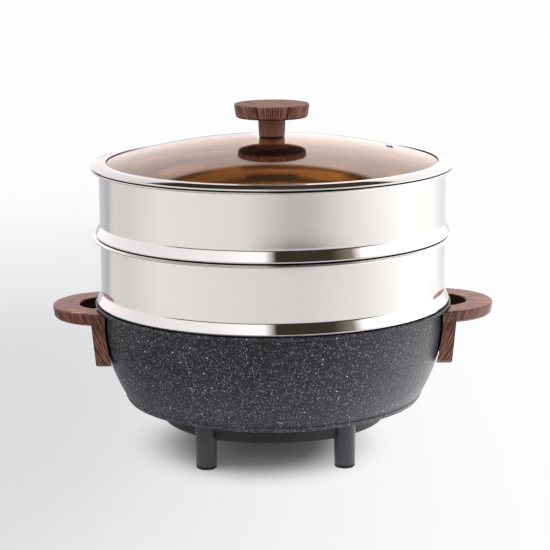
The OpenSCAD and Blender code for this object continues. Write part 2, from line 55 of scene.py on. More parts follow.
def linear(hex_colour):
    """An sRGB hex colour as linear red, green, blue and an alpha of 1."""
    parts = [int(hex_colour[i:i + 2], 16) / 255 for i in (1, 3, 5)]
    return [c / 12.92 if c <= 0.04045 else ((c + 0.055) / 1.055) ** 2.4 for c in parts] + [1.0]


def add(tree, kind, values=None, links=None, stops=None, **settings):
    """Adds a node: its own settings, the values of its sockets, what feeds them, and a ramp's stops."""
    made = tree.nodes.new(kind)
    for name, value in settings.items():
        setattr(made, name, value)
    for socket, value in (values or {}).items():
        made.inputs[socket].default_value = value
    for socket, source in (links or {}).items():
        tree.links.new(source, made.inputs[socket])
    for i, (place, colour) in enumerate(stops or ()):
        ramp = made.color_ramp.elements
        stop = ramp[i] if i < 2 else ramp.new(place)
        stop.position = place
        stop.color = linear(colour)
    return made


def new_material(name, **sockets):
    """A material with one surface shader. Gives the material, its tree, the shader and the place in metres."""
    made = bpy.data.materials.new(name)
    made.use_nodes = True
    tree = made.node_tree
    tree.nodes.clear()
    shader = add(tree, "ShaderNodeBsdfPrincipled")
    for socket, value in sockets.items():
        shader.inputs[socket.replace("_", " ")].default_value = value
    add(tree, "ShaderNodeOutputMaterial", links={"Surface": shader.outputs[0]})
    return made, tree, shader, add(tree, "ShaderNodeTexCoord").outputs["Object"]


def feed(tree, shader, **sources):
    """Links nodes to the shader's sockets that have their names."""
    for socket, source in sources.items():
        tree.links.new(source.outputs[0], shader.inputs[socket.replace("_", " ")])


def soften(corners, steps=5):
    """A closed outline of (radius, height, rounding) corners in millimetres, each corner turned into an arc."""
    outline = []
    for i, (x, z, rounding) in enumerate(corners):
        here = Vector((x, z))
        before = Vector(corners[i - 1][:2]) - here
        after = Vector(corners[(i + 1) % len(corners)][:2]) - here
        half = before.angle(after) / 2
        cut = min(rounding / math.tan(half), 0.48 * before.length, 0.48 * after.length)
        if cut < 1e-4:
            outline.append((x, z))
            continue
        radius = cut * math.tan(half)
        centre = here + (before.normalized() + after.normalized()).normalized() * radius / math.sin(half)
        start = here + before.normalized() * cut - centre
        end = here + after.normalized() * cut - centre
        turn = (math.atan2(end.y, end.x) - math.atan2(start.y, start.x) + math.pi) % (2 * math.pi) - math.pi
        for k in range(steps + 1):
            a = math.atan2(start.y, start.x) + turn * k / steps
            outline.append((centre.x + radius * math.cos(a), centre.y + radius * math.sin(a)))
    return outline


def piece(shape, name, materials, body, node):
    """A worked shape as a piece of the object: it rides on a body and stands for a CAD node."""
    bmesh.ops.recalc_face_normals(shape, faces=shape.faces)
    mesh = bpy.data.meshes.new(name)
    shape.to_mesh(mesh)
    shape.free()
    for each in materials:
        mesh.materials.append(each)
    made = bpy.data.objects.new(name, mesh)
    bpy.context.scene.collection.objects.link(made)
    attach(made, body)
    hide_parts(node)


def skin(shape, rings):
    """Lays smooth faces from each ring of points to the next, and gives them ring by ring.

    A ring that is one point over and over closes an end.
    """
    rows = []
    for ring, after in zip(rings, rings[1:]):
        row = []
        for k in range(len(ring)):
            following = (k + 1) % len(ring)
            corners = [ring[k], ring[following], after[following], after[k]]
            row.append(shape.faces.new([v for j, v in enumerate(corners) if v not in corners[:j]]))
            row[-1].smooth = True
        rows.append(row)
    return rows


def round_turn(sides):
    """The angles of a full turn in equal steps."""
    return [2 * math.pi * k / sides for k in range(sides)]


def turned(outline, pick, sides=288):
    """A shape turned about Z from a closed outline in millimetres. pick gives a face's material from r and z."""
    shape = bmesh.new()
    rings = [[shape.verts.new((r * MM * math.cos(a), r * MM * math.sin(a), z * MM)) for a in round_turn(sides)]
             for r, z in outline]
    rows = skin(shape, rings + rings[:1])
    for row, here, after in zip(rows, outline, outline[1:] + outline[:1]):
        finish = pick((here[0] + after[0]) / 2, (here[1] + after[1]) / 2)
        for face in row:
            face.material_index = finish
    return shape


# Materials

def stone_coating():
    """Sprayed stone-look enamel on cast aluminium: near-black blue-grey, satin, full of pale grit, with a few chips."""
    made, tree, shader, place = new_material("stone look enamel", IOR=1.5)
    # Chips of about 0.8 mm, few and nearly white, in cells of 3 mm
    chips = add(tree, "ShaderNodeTexVoronoi", {"Scale": 1 / (3.0 * MM)}, {"Vector": place})
    chip_size = add(tree, "ShaderNodeMapRange", {"From Min": 0.12, "From Max": 0.2, "To Min": 1.0, "To Max": 0.0},
                    {"Value": chips.outputs["Distance"]})
    chip_tint = add(tree, "ShaderNodeValToRGB", None, {"Fac": chips.outputs["Color"]},
                    [(0.7, "#2a2c31"), (0.88, "#ffffff")])
    # Grit of about 0.4 mm, drawn at 0.8 mm so that it shows
    grit = add(tree, "ShaderNodeTexVoronoi", {"Scale": 1 / (0.8 * MM)}, {"Vector": place})
    grit_size = add(tree, "ShaderNodeMapRange", {"From Min": 0.3, "From Max": 0.55, "To Min": 1.0, "To Max": 0.2},
                    {"Value": grit.outputs["Distance"]})
    grit_tint = add(tree, "ShaderNodeValToRGB", None, {"Fac": grit.outputs["Color"]},
                    [(0.45, "#121317"), (0.92, "#a4a9b4"), (0.68, "#2a2c33")])
    # Slow drift of the sprayed ground, about 30 mm
    drift = add(tree, "ShaderNodeTexNoise", {"Scale": 1 / (30 * MM), "Detail": 3.0}, {"Vector": place})
    ground = add(tree, "ShaderNodeValToRGB", None, {"Fac": drift.outputs["Fac"]},
                 [(0.35, "#1c1d22"), (0.65, "#24262c")])
    gritty = add(tree, "ShaderNodeMixRGB", None, {"Fac": grit_size.outputs[0], "Color1": ground.outputs[0],
                                                  "Color2": grit_tint.outputs[0]})
    flecked = add(tree, "ShaderNodeMixRGB", None, {"Fac": chip_size.outputs[0], "Color1": gritty.outputs[0],
                                                   "Color2": chip_tint.outputs[0]})
    # Orange-peel skin of the spray, about 0.9 mm
    peel = add(tree, "ShaderNodeTexNoise", {"Scale": 1 / (0.9 * MM), "Detail": 2.0}, {"Vector": place})
    bump = add(tree, "ShaderNodeBump", {"Strength": 0.3, "Distance": 0.0001}, {"Height": peel.outputs["Fac"]})
    gloss = add(tree, "ShaderNodeMapRange", {"To Min": 0.36, "To Max": 0.46}, {"Value": drift.outputs["Fac"]})
    feed(tree, shader, Base_Color=flecked, Roughness=gloss, Normal=bump)
    return made


def polished_steel(name, dark, light, smooth, rough):
    """Stainless sheet buffed round the axis: warm grey, its gloss in streaks along the turn, from smooth to rough."""
    made, tree, shader, place = new_material(name, Metallic=1.0)
    # Buffing lines of about 0.2 mm that run on for 90 mm along the turn, drawn at 1.2 mm so that they show
    streak_place = add(tree, "ShaderNodeMapping", {"Scale": (1 / (90 * MM), 1 / (90 * MM), 1 / (1.2 * MM))},
                       {"Vector": place})
    streaks = add(tree, "ShaderNodeTexNoise", {"Scale": 1.0, "Detail": 4.0}, {"Vector": streak_place.outputs[0]})
    gloss = add(tree, "ShaderNodeMapRange", {"From Min": 0.3, "From Max": 0.7, "To Min": smooth, "To Max": rough},
                {"Value": streaks.outputs["Fac"]})
    # Slow waves that the rolled sheet keeps, about 60 mm long
    waves = add(tree, "ShaderNodeTexNoise", {"Scale": 1 / (60 * MM), "Detail": 1.0}, {"Vector": place})
    tint = add(tree, "ShaderNodeValToRGB", None, {"Fac": waves.outputs["Fac"]}, [(0.3, dark), (0.7, light)])
    bump = add(tree, "ShaderNodeBump", {"Strength": 0.05, "Distance": 0.001}, {"Height": waves.outputs["Fac"]})
    feed(tree, shader, Base_Color=tint, Roughness=gloss, Normal=bump)
    return made


def amber_glass():
    """Tempered soda-lime glass tinted brown in the melt: clear, glossy, darker where the eye looks through more."""
    made, tree, shader, place = new_material("amber tempered glass", IOR=1.52, Roughness=0.0,
                                             Transmission_Weight=1.0)
    # Faint drift of the tint, about 80 mm
    drift = add(tree, "ShaderNodeTexNoise", {"Scale": 1 / (80 * MM), "Detail": 1.0}, {"Vector": place})
    tint = add(tree, "ShaderNodeValToRGB", None, {"Fac": drift.outputs["Fac"]},
               [(0.3, "#d3a673"), (0.7, "#d8ac7a")])
    feed(tree, shader, Base_Color=tint)
    return made


def wood_look(name, line, smooth, rough, top_painted_light, plain_from):
    """Phenolic with a walnut-grain film: red-brown, satin; the grain runs along X on top and leans down the sides.

    line is how wide its growth lines are, smooth to rough its gloss, top_painted_light how much level faces are
    lightened as a painted highlight, and plain_from how far below the knob's top it loses its lines. Lengths are in
    metres.
    """
    knob_top, knob_reach, most_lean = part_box("knob")[1][2], 34 * MM, 0.51
    handle_end, _, handle_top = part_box("handle_right")[1]
    handles_from, ring_middle, ring_foot = 100 * MM, handle_end - 51 * MM, handle_top - 11 * MM
    made, tree, shader, place = new_material(name, IOR=1.5)
    axes = add(tree, "ShaderNodeSeparateXYZ", None, {0: place})
    out = add(tree, "ShaderNodeMath", None, {0: axes.outputs["X"]}, operation="ABSOLUTE")
    round_side = add(tree, "ShaderNodeMath", {1: 0.5}, {0: axes.outputs["Y"], 2: out.outputs[0]},
                     operation="MULTIPLY_ADD")
    # On the sides the film's grain leans up to 27 degrees from the upright; at the knob's middle it is upright
    below_top = add(tree, "ShaderNodeMath", {1: -knob_top}, {0: axes.outputs["Z"]}, operation="ADD")
    lean = add(tree, "ShaderNodeMapRange", {"From Max": knob_reach, "To Max": -most_lean}, {"Value": out.outputs[0]})
    leaned = add(tree, "ShaderNodeMath", None,
                 {0: below_top.outputs[0], 1: lean.outputs[0], 2: round_side.outputs[0]}, operation="MULTIPLY_ADD")
    down_side = add(tree, "ShaderNodeCombineXYZ", None,
                    {"X": leaned.outputs[0], "Y": axes.outputs["Z"], "Z": axes.outputs["Y"]})
    over_top = add(tree, "ShaderNodeCombineXYZ", None,
                   {"X": axes.outputs["Y"], "Y": axes.outputs["X"], "Z": axes.outputs["Z"]})
    facing = add(tree, "ShaderNodeSeparateXYZ", None, {0: add(tree, "ShaderNodeNewGeometry").outputs["Normal"]})
    level = add(tree, "ShaderNodeMath", None, {0: facing.outputs["Z"]}, operation="ABSOLUTE")
    flat = add(tree, "ShaderNodeMapRange", {"From Min": 0.6, "From Max": 0.75}, {"Value": level.outputs[0]})
    lay = add(tree, "ShaderNodeMixRGB", None, {"Fac": flat.outputs[0], "Color1": down_side.outputs[0],
                                               "Color2": over_top.outputs[0]})
    # Growth lines that run on for 60 mm
    ring_place = add(tree, "ShaderNodeMapping", {"Scale": (1 / line, 1 / (60 * MM), 1 / (60 * MM))},
                     {"Vector": lay.outputs[0]})
    rings = add(tree, "ShaderNodeTexNoise", {"Scale": 1.0, "Detail": 2.0, "Distortion": 0.3},
                {"Vector": ring_place.outputs[0]})
    grain = add(tree, "ShaderNodeValToRGB", None, {"Fac": rings.outputs["Fac"]},
                [(0.28, "#220c06"), (0.76, "#845039"), (0.36, "#643223"), (0.42, "#a66d57"), (0.47, "#804934"),
                 (0.51, "#2c120a"), (0.55, "#6a3b29"), (0.61, "#aa735c"), (0.66, "#52281b"), (0.70, "#280f08")])
    # Pores of about 0.4 mm by 10 mm, drawn at 0.8 mm so that they show
    pore_place = add(tree, "ShaderNodeMapping", {"Scale": (1 / (0.8 * MM), 1 / (10 * MM), 1 / (10 * MM))},
                     {"Vector": lay.outputs[0]})
    pores = add(tree, "ShaderNodeTexNoise", {"Scale": 1.0, "Detail": 3.0}, {"Vector": pore_place.outputs[0]})
    pore_tint = add(tree, "ShaderNodeValToRGB", None, {"Fac": pores.outputs["Fac"]},
                    [(0.35, "#a37a6a"), (0.6, "#ffffff")])
    colour = add(tree, "ShaderNodeMixRGB", {"Fac": 0.85}, {"Color1": grain.outputs[0], "Color2": pore_tint.outputs[0]},
                 blend_type="MULTIPLY")
    # The knob's neck is plainer than its head
    neck = add(tree, "ShaderNodeMapRange",
               {"From Min": -plain_from - MM, "From Max": -plain_from, "To Min": 0.8, "To Max": 0.0},
               {"Value": below_top.outputs[0]})
    plainer = add(tree, "ShaderNodeMixRGB", {"Color2": linear("#8c5743")},
                  {"Fac": neck.outputs[0], "Color1": colour.outputs[0]})
    # A handle's finger hole: its wall, facing the ring's middle, is painted dark as shade in the recess
    from_middle = add(tree, "ShaderNodeMath", {1: -ring_middle}, {0: out.outputs[0]}, operation="ADD")
    side = add(tree, "ShaderNodeMath", None, {0: axes.outputs["X"]}, operation="SIGN")
    outward = add(tree, "ShaderNodeMath", None, {0: facing.outputs["X"], 1: side.outputs[0]}, operation="MULTIPLY")
    along = add(tree, "ShaderNodeMath", None, {0: facing.outputs["Y"], 1: axes.outputs["Y"]}, operation="MULTIPLY")
    inward = add(tree, "ShaderNodeMath", None,
                 {0: outward.outputs[0], 1: from_middle.outputs[0], 2: along.outputs[0]}, operation="MULTIPLY_ADD")
    in_hole = add(tree, "ShaderNodeMapRange",
                  {"From Min": -12 * MM, "From Max": -8 * MM, "To Min": 0.85, "To Max": 0.0},
                  {"Value": inward.outputs[0]})
    on_handle = add(tree, "ShaderNodeMath", {1: handles_from}, {0: out.outputs[0]}, operation="GREATER_THAN")
    hole_painted_shade = add(tree, "ShaderNodeMath", None, {0: in_hole.outputs[0], 1: on_handle.outputs[0]}, operation="MULTIPLY")
    hole_shaded = add(tree, "ShaderNodeMixRGB", {"Color2": linear("#2a1912")},
                {"Fac": hole_painted_shade.outputs[0], "Color1": plainer.outputs[0]})
    # Round a handle's ring, 11 mm thick, the sides are painted darker as shade, fading out over 12 mm down the back
    # plate
    on_ring = add(tree, "ShaderNodeMapRange", {"From Min": ring_foot - 12 * MM, "From Max": ring_foot},
                  {"Value": axes.outputs["Z"]})
    ring_painted_shade = add(tree, "ShaderNodeMath", None, {0: on_ring.outputs[0], 1: on_handle.outputs[0]},
                    operation="MULTIPLY")
    darker = add(tree, "ShaderNodeHueSaturation", {"Value": 0.7},
                 {"Fac": ring_painted_shade.outputs[0], "Color": hole_shaded.outputs[0]})
    # Level faces are lightened as a painted highlight of the light from above
    top_painted_highlight = add(tree, "ShaderNodeHueSaturation", {"Value": top_painted_light}, {"Color": hole_shaded.outputs[0]})
    film = add(tree, "ShaderNodeMixRGB", None,
               {"Fac": flat.outputs[0], "Color1": darker.outputs[0], "Color2": top_painted_highlight.outputs[0]})
    gloss = add(tree, "ShaderNodeMapRange", {"To Min": rough, "To Max": smooth}, {"Value": pores.outputs["Fac"]})
    bump = add(tree, "ShaderNodeBump", {"Strength": 0.2, "Distance": 0.0002}, {"Height": pores.outputs["Fac"]})
    feed(tree, shader, Base_Color=film, Roughness=gloss, Normal=bump)
    return made


def moulded(name, dark, light, smooth, rough, grit_mm, depth_mm, ior=1.5):
    """A moulded or cast skin: one colour that drifts over 20 mm, and a fine grain from the mould."""
    made, tree, shader, place = new_material(name, IOR=ior)
    grit = add(tree, "ShaderNodeTexNoise", {"Scale": 1 / (grit_mm * MM), "Detail": 2.0}, {"Vector": place})
    drift = add(tree, "ShaderNodeTexNoise", {"Scale": 1 / (20 * MM), "Detail": 2.0}, {"Vector": place})
    tint = add(tree, "ShaderNodeValToRGB", None, {"Fac": drift.outputs["Fac"]}, [(0.3, dark), (0.7, light)])
    gloss = add(tree, "ShaderNodeMapRange", {"To Min": smooth, "To Max": rough}, {"Value": grit.outputs["Fac"]})
    bump = add(tree, "ShaderNodeBump", {"Strength": 0.3, "Distance": depth_mm * MM}, {"Height": grit.outputs["Fac"]})
    feed(tree, shader, Base_Color=tint, Roughness=gloss, Normal=bump)
    return made


def plated(name, dark, light, smooth, rough):
    """Plated or sheathed metal with a little uneven colour and gloss, in patches of 2 mm."""
    made, tree, shader, place = new_material(name, Metallic=1.0)
    drift = add(tree, "ShaderNodeTexNoise", {"Scale": 1 / (2 * MM), "Detail": 3.0}, {"Vector": place})
    tint = add(tree, "ShaderNodeValToRGB", None, {"Fac": drift.outputs["Fac"]}, [(0.3, dark), (0.7, light)])
    gloss = add(tree, "ShaderNodeMapRange", {"To Min": smooth, "To Max": rough}, {"Value": drift.outputs["Fac"]})
    feed(tree, shader, Base_Color=tint, Roughness=gloss)
    return made


# Colours go from dark to light and gloss from smooth to rough; a moulded skin then has its grain's width and depth in
# millimetres, and its IOR where that isn't 1.5
STONE = stone_coating()
STEEL_WALL = polished_steel("satin buffed stainless", "#f2efec", "#f4f1ee", 0.048, 0.056)
STEEL_BRIGHT = polished_steel("mirror buffed stainless", "#f2efec", "#f4f1ee", 0.045, 0.055)
# The lid rim's crown: the same stainless darkened, as painted shade for its greyer reflection
STEEL_RIM_SHADED = polished_steel("lid rim stainless darkened as painted shade", "#cbc9c7", "#cfcdcb", 0.045, 0.055)
GLASS = amber_glass()
WOOD = wood_look("walnut grain phenolic", line=0.0027, smooth=0.38, rough=0.46, top_painted_light=1.45, plain_from=1.0)
KNOB_WOOD = wood_look("walnut grain phenolic, matter", line=0.0042, smooth=0.52, rough=0.6, top_painted_light=1.0,
                      plain_from=0.0125)
BLACK = moulded("black heat proof PBT", "#1b1c1e", "#212224", 0.45, 0.6, 0.8, 0.06)
LEG = moulded("dark grey moulded nylon", "#37383b", "#3d3e42", 0.32, 0.42, 1.0, 0.04)
RUBBER = moulded("black foot rubber", "#0e0e0f", "#151516", 0.6, 0.75, 0.8, 0.05)
WASHER = moulded("brown silicone", "#38201a", "#402720", 0.5, 0.62, 0.9, 0.03, 1.41)
SILICONE = moulded("black silicone", "#0d0c0b", "#141210", 0.5, 0.62, 0.9, 0.03, 1.41)
CERAMIC = moulded("unglazed steatite ceramic", "#ddd6c8", "#e7e1d5", 0.55, 0.7, 0.7, 0.03)
ZINC = plated("zinc plated screw steel", "#a9abad", "#bdbec0", 0.25, 0.38)
NICKEL = plated("nickel plated brass", "#c2bdb2", "#d2cec4", 0.18, 0.28)
# Stainless painted dark as shade, for the undersides that close the gaps under a tier's band and under the lid's rim
STEEL_GAP_SHADE = plated("stainless painted dark as gap shade", "#3c3a38", "#484644", 0.45, 0.6)
SHEATH = plated("oxidised steel sheath", "#6a645d", "#857e75", 0.4, 0.55)

SLOT_LOOKS = {
    "stone_coating": STONE, "polished_steel": STEEL_WALL, "amber_glass": GLASS, "wood_look_phenolic": WOOD,
    "black_plastic": BLACK, "leg_plastic": LEG, "foot_rubber": RUBBER, "black_silicone": SILICONE,
    "insulator": CERAMIC, "fastener_steel": ZINC, "contact_metal": NICKEL, "heater_sheath": SHEATH,
}
NODE_LOOKS = {"knob": KNOB_WOOD, "knob_washer": WASHER}
for part in frame["record"]["subparts"]:
    for held in frame["nodes"][part["node"]].material_slots:
        held.material = NODE_LOOKS.get(part["node"], SLOT_LOOKS[part["material_slot"]])


# Steel tiers and lid rim

# A face counts as underside up to this height over the seat, in millimetres
UNDERSIDE = 0.05


def seat_of(node, corners):
    """Height of a node's seat in millimetres: the outline's lowest corner is the node's lowest point."""
    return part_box(node)[0][2] / MM - min(z for r, z, rounding in corners)


# Outline of a tier over its seat: ledge, nesting collar, seat, flared band, wall and rolled rim. Points without a
# rounding lie on the straight runs and keep their shading flat
TIER = [
    (143.3, -7.0, 0.2), (151.3, -7.0, 1.2), (151.3, 0.0, 0.4), (160.0, 0.0, 0.5), (160.0, 1.3, 0.5),
    (159.699, 1.874, 0.0), (156.56, 7.86, 0.0), (155.7, 9.5, 5.0), (155.7, 12.0, 0.0), (155.7, 56.6, 0.0),
    (155.7, 57.9, 0.6), (162.7, 57.9, 0.79), (162.7, 59.5, 0.79), (157.2, 61.1, 1.2), (154.9, 61.1, 0.4),
    (154.9, 59.8, 0.0), (154.9, 11.0, 0.0), (154.9, 9.5, 0.4), (158.8, 1.3, 0.3), (158.8, 0.8, 0.2),
    (150.5, 0.8, 0.6), (150.5, -6.2, 0.6), (143.3, -6.2, 0.2),
]


def tier_finish(seat):
    """The wall and the inside are satin, the flared band and the rolled rim bright, the seat's underside painted dark
    as shade in the gap below it.
    """
    past_collar, past_wall, band_top, roll_foot = 151.5, 155.9, 9.9, 57.5

    def finish(r, z):
        if r > past_collar and z - seat < UNDERSIDE:
            return 2
        return 1 if r > past_wall and not band_top <= z - seat <= roll_foot else 0
    return finish


for tier in ("lower_tier", "upper_tier"):
    seat = seat_of(tier + "_shell", TIER)
    shape = turned(soften([(r, seat + z, rounding) for r, z, rounding in TIER]), tier_finish(seat))
    piece(shape, tier + ".shell", [STEEL_WALL, STEEL_BRIGHT, STEEL_GAP_SHADE], tier, tier + "_shell")

# Outline of the lid's steel rim over its seat: a crown that falls to a curled edge, the skirt and the catch under the
# glass
RIM = [
    (149.3, 3.3, 0.15), (155.0, 3.05, 4.0), (163.0, 0.95, 0.45), (163.0, -0.45, 0.15), (161.2, -0.45, 0.2),
    (160.2, 0.0, 0.2), (152.6, 0.0, 0.5), (152.6, -6.0, 0.38), (151.8, -6.0, 0.38), (151.8, -4.18, 0.2),
    (149.6, -4.18, 0.2), (149.6, -3.38, 0.2), (151.8, -3.38, 0.1), (151.8, 2.5, 0.1), (149.3, 2.5, 0.3),
]
lid_seat = seat_of("lid_rim", RIM)


def rim_finish(r, z):
    """The rim's crown is steel darkened as painted shade, its edge bright, and its underside painted dark as shade, so
    the gap over the tier stays dark.
    """
    edge = 162.8
    if r > edge:
        return 2
    return 1 if z - lid_seat < UNDERSIDE else 0


shape = turned(soften([(r, lid_seat + z, rounding) for r, z, rounding in RIM]), rim_finish, sides=360)
piece(shape, "lid.rim", [STEEL_RIM_SHADED, STEEL_GAP_SHADE, STEEL_BRIGHT], "lid", "lid_rim")


# Screws

def screws(name, body, node, out, places, head, shank):
    """Pan-head screws with a cross recess: head and shank are (diameter, height) in millimetres.

    A place is the middle of a head's seat in millimetres, and out is the way the heads face.
    """
    wide, high = head
    thick, deep = shank
    arm_half, arm_reach, slope, recess = 0.08 * wide, 0.3 * wide, 0.04 * wide, 0.45 * high
    sides, steps = 72, 24
    angles = round_turn(sides)
    neck, chamfer = 0.1, 0.6
    # From the head's edge, under the head and along the shank to its chamfered end
    edge = [(wide / 2, 0.3 * high), (wide / 2, 0.03 * high), (0.98 * wide / 2, 0.0), (thick / 2, 0.0),
            (thick / 2, -neck), (thick / 2, chamfer - deep), (thick / 2 - chamfer, -deep)]

    def top(r, a):
        """Height of the head over its seat: a low dome with two crossed slots."""
        u, v = abs(r * math.cos(a)), abs(r * math.sin(a))
        slot = max(min(arm_half - u, arm_reach - v), min(arm_half - v, arm_reach - u)) / slope
        return high * (1 - 1.5 * (r / wide) ** 2) - recess * min(max(slot, 0.0), 1.0)

    shape = bmesh.new()
    turned_out = Vector(out).to_track_quat("Z", "Y")
    for place in places:
        def point(r, a, z):
            away = Vector((r * math.cos(a), r * math.sin(a), z))
            return shape.verts.new((Vector(place) + turned_out @ away) * MM)

        rings = [[point(0, 0, top(0, 0))] * sides]
        rings += [[point(r, a, top(r, a)) for a in angles] for r in (wide / 2 * k / steps for k in range(1, steps + 1))]
        rings += [[point(r, a, z) for a in angles] for r, z in edge]
        rings.append([point(0, 0, -deep)] * sides)
        skin(shape, rings)
    piece(shape, name, [ZINC], body, node)


# Heads as (diameter, height) and diameters of shanks, in millimetres, as the solids have them
HANDLE_HEAD, BASE_HEAD, KNOB_HEAD = (8.0, 2.6), (7.4, 2.4), (10.0, 3.0)
THIN_SHANK, KNOB_SHANK = 4.0, 5.0

half, tall = HANDLE_HEAD[0] / 2, HANDLE_HEAD[1]
for side, way in (("left", -1), ("right", 1)):
    low, high = (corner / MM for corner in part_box("handle_screws_" + side))
    seat_x = max(abs(low.x), abs(high.x)) - tall
    back_x = min(abs(low.x), abs(high.x))
    screws("handle.screws_" + side, "pot", "handle_screws_" + side, (way, 0, 0),
           [(way * seat_x, y, (low.z + high.z) / 2) for y in (low.y + half, high.y - half)],
           HANDLE_HEAD, (THIN_SHANK, seat_x - back_x))

half, tall = BASE_HEAD[0] / 2, BASE_HEAD[1]
low, high = (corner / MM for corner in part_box("base_screws"))
screws("base.screws", "pot", "base_screws", (0, 0, -1),
       [(x, y, low.z + tall) for x, y in ((low.x + half, 0), (high.x - half, 0), (0, low.y + half))],
       BASE_HEAD, (THIN_SHANK, high.z - low.z - tall))

tall = KNOB_HEAD[1]
low, high = (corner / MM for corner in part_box("knob_screw"))
screws("lid.knob_screw", "lid", "knob_screw", (0, 0, -1), [(0, 0, low.z + tall)],
       KNOB_HEAD, (KNOB_SHANK, high.z - low.z - tall))


# Stage

def studio_floor():
    """A pale floor that keeps the shadow near the pot and fades to the background's white further out.

    Mirrors see light and shade painted on it: white to the right, a little greyer to the left, and shaded
    in front, where the camera stands. Distances from the pot are in metres, also the places of the stops in
    a ramp that reads one.
    """
    floor_radius = 14.0
    grey_stretch, grey_shift = (1.0, 0.35, 1.0), (0.28, -0.035, 0.0)
    shadow_shift, shadow_stretch = (0.018, 0.0, 0.0), (1.3, 1.0, 1.0)
    shape = bmesh.new()
    bmesh.ops.create_circle(shape, cap_ends=True, segments=64, radius=floor_radius)
    mesh = bpy.data.meshes.new("studio_floor")
    shape.to_mesh(mesh)
    shape.free()
    floor = bpy.data.objects.new("studio_floor", mesh)
    bpy.context.scene.collection.objects.link(floor)
    made = bpy.data.materials.new("painted studio floor")
    made.use_nodes = True
    tree = made.node_tree
    tree.nodes.clear()
    place = add(tree, "ShaderNodeTexCoord").outputs["Object"]
    axes = add(tree, "ShaderNodeSeparateXYZ", None, {0: place})
    # A painted shadow: greyer to the left of the pot and behind it there, where its soft shadow reaches, and white
    # further out
    from_left = add(tree, "ShaderNodeVectorMath", {1: grey_stretch, 2: grey_shift}, {0: place},
                    operation="MULTIPLY_ADD")
    left_far = add(tree, "ShaderNodeVectorMath", None, {0: from_left.outputs[0]}, operation="LENGTH")
    white = add(tree, "ShaderNodeValToRGB", None, {"Fac": left_far.outputs["Value"]},
                [(0.04, "#dcdcdf"), (0.55, "#fdfdfe"), (0.12, "#dedee1"), (0.2, "#e9e9ec"), (0.3, "#f1f1f3"),
                 (0.43, "#fafafc")])
    glow = add(tree, "ShaderNodeEmission", {"Strength": 1.0}, {"Color": white.outputs[0]})
    # The shadow lies a little to the left of the pot and is narrower than deep
    aside = add(tree, "ShaderNodeVectorMath", {1: shadow_shift}, {0: place}, operation="ADD")
    far = add(tree, "ShaderNodeVectorMath", None, {0: aside.outputs[0]}, operation="LENGTH")
    narrowed = add(tree, "ShaderNodeVectorMath", {1: shadow_stretch}, {0: aside.outputs[0]}, operation="MULTIPLY")
    shadow = add(tree, "ShaderNodeVectorMath", None, {0: narrowed.outputs[0]}, operation="LENGTH")
    fade = add(tree, "ShaderNodeMapRange", {"From Min": 0.068, "From Max": 0.168}, {"Value": shadow.outputs["Value"]},
               interpolation_type="SMOOTHSTEP")
    # Painted shade: a little darker under the pot
    painted_shade_under_pot = add(tree, "ShaderNodeValToRGB", None, {"Fac": far.outputs["Value"]},
                  [(0.08, "#d6d6d8"), (0.15, "#f4f4f6")])
    paint = add(tree, "ShaderNodeBsdfDiffuse", None, {"Color": painted_shade_under_pot.outputs[0]})
    seen = add(tree, "ShaderNodeMixShader", None, {0: fade.outputs[0], 1: paint.outputs[0], 2: glow.outputs[0]})
    # What the steel walls mirror, painted light and shade, by direction from the pot: 0.5 is towards the camera
    toward = add(tree, "ShaderNodeMath", {1: -1.0}, {0: axes.outputs["Y"]}, operation="MULTIPLY")
    bearing = add(tree, "ShaderNodeMath", None, {0: axes.outputs["X"], 1: toward.outputs[0]}, operation="ARCTAN2")
    turn = add(tree, "ShaderNodeMapRange", {"From Min": -math.pi, "From Max": math.pi}, {"Value": bearing.outputs[0]})
    shade = add(tree, "ShaderNodeValToRGB", None, {"Fac": turn.outputs[0]},
                [(0.03, "#c4c6cc"), (0.98, "#d6d6d8"), (0.06, "#bcbec4"), (0.108, "#aeb0b6"), (0.128, "#a4a5aa"),
                 (0.142, "#bcbab9"), (0.155, "#c8c6c5"), (0.206, "#c5c3c2"),
                 (0.297, "#d7d5d3"), (0.40, "#d2d0ce"), (0.47, "#cdcbca"), (0.546, "#c6c5c5"), (0.64, "#d6d5d5"),
                 (0.755, "#fbfbfb"), (0.85, "#f0f0f0"), (0.897, "#dadada")])
    # A darker strip before the pot, to the right of the camera: painted shade that only mirrors see; its ramp reads
    # half the distance
    halved = add(tree, "ShaderNodeMath", {1: 0.5}, {0: far.outputs["Value"]}, operation="MULTIPLY")
    strip = add(tree, "ShaderNodeValToRGB", None, {"Fac": halved.outputs[0]},
                [(0.565, "#ffffff"), (0.70, "#dedede"), (0.585, "#404040"), (0.60, "#4c4c4c"), (0.615, "#7c7c7c"),
                 (0.64, "#b4b4b4"), (0.67, "#d2d2d2")])
    strip_width = add(tree, "ShaderNodeValToRGB", None, {"Fac": turn.outputs[0]},
                      [(0.45, "#000000"), (0.642, "#000000"), (0.49, "#c0c0c0"), (0.527, "#ffffff"), (0.564, "#f6f6f6"),
                       (0.602, "#a8a8a8")])
    striped = add(tree, "ShaderNodeMixRGB", {"Color1": linear("#ffffff")},
                  {"Fac": strip_width.outputs[0], "Color2": strip.outputs[0]})
    patched = add(tree, "ShaderNodeMixRGB", {"Fac": 1.0}, {"Color1": shade.outputs[0], "Color2": striped.outputs[0]},
                  blend_type="MULTIPLY")
    # What the pot's coat mirrors closer in, painted: its own shade in front and to the left, the lit floor to the right
    close_shade = add(tree, "ShaderNodeValToRGB", None, {"Fac": turn.outputs[0]},
                      [(0.0, "#8c8c90"), (1.0, "#9999a0"), (0.25, "#38383a"), (0.42, "#343436"), (0.52, "#2c2c2e"),
                       (0.60, "#7c7c82"), (0.66, "#d0d0d6"), (0.72, "#f0f0f4"), (0.80, "#ffffff"), (0.9, "#e5e5e9")])
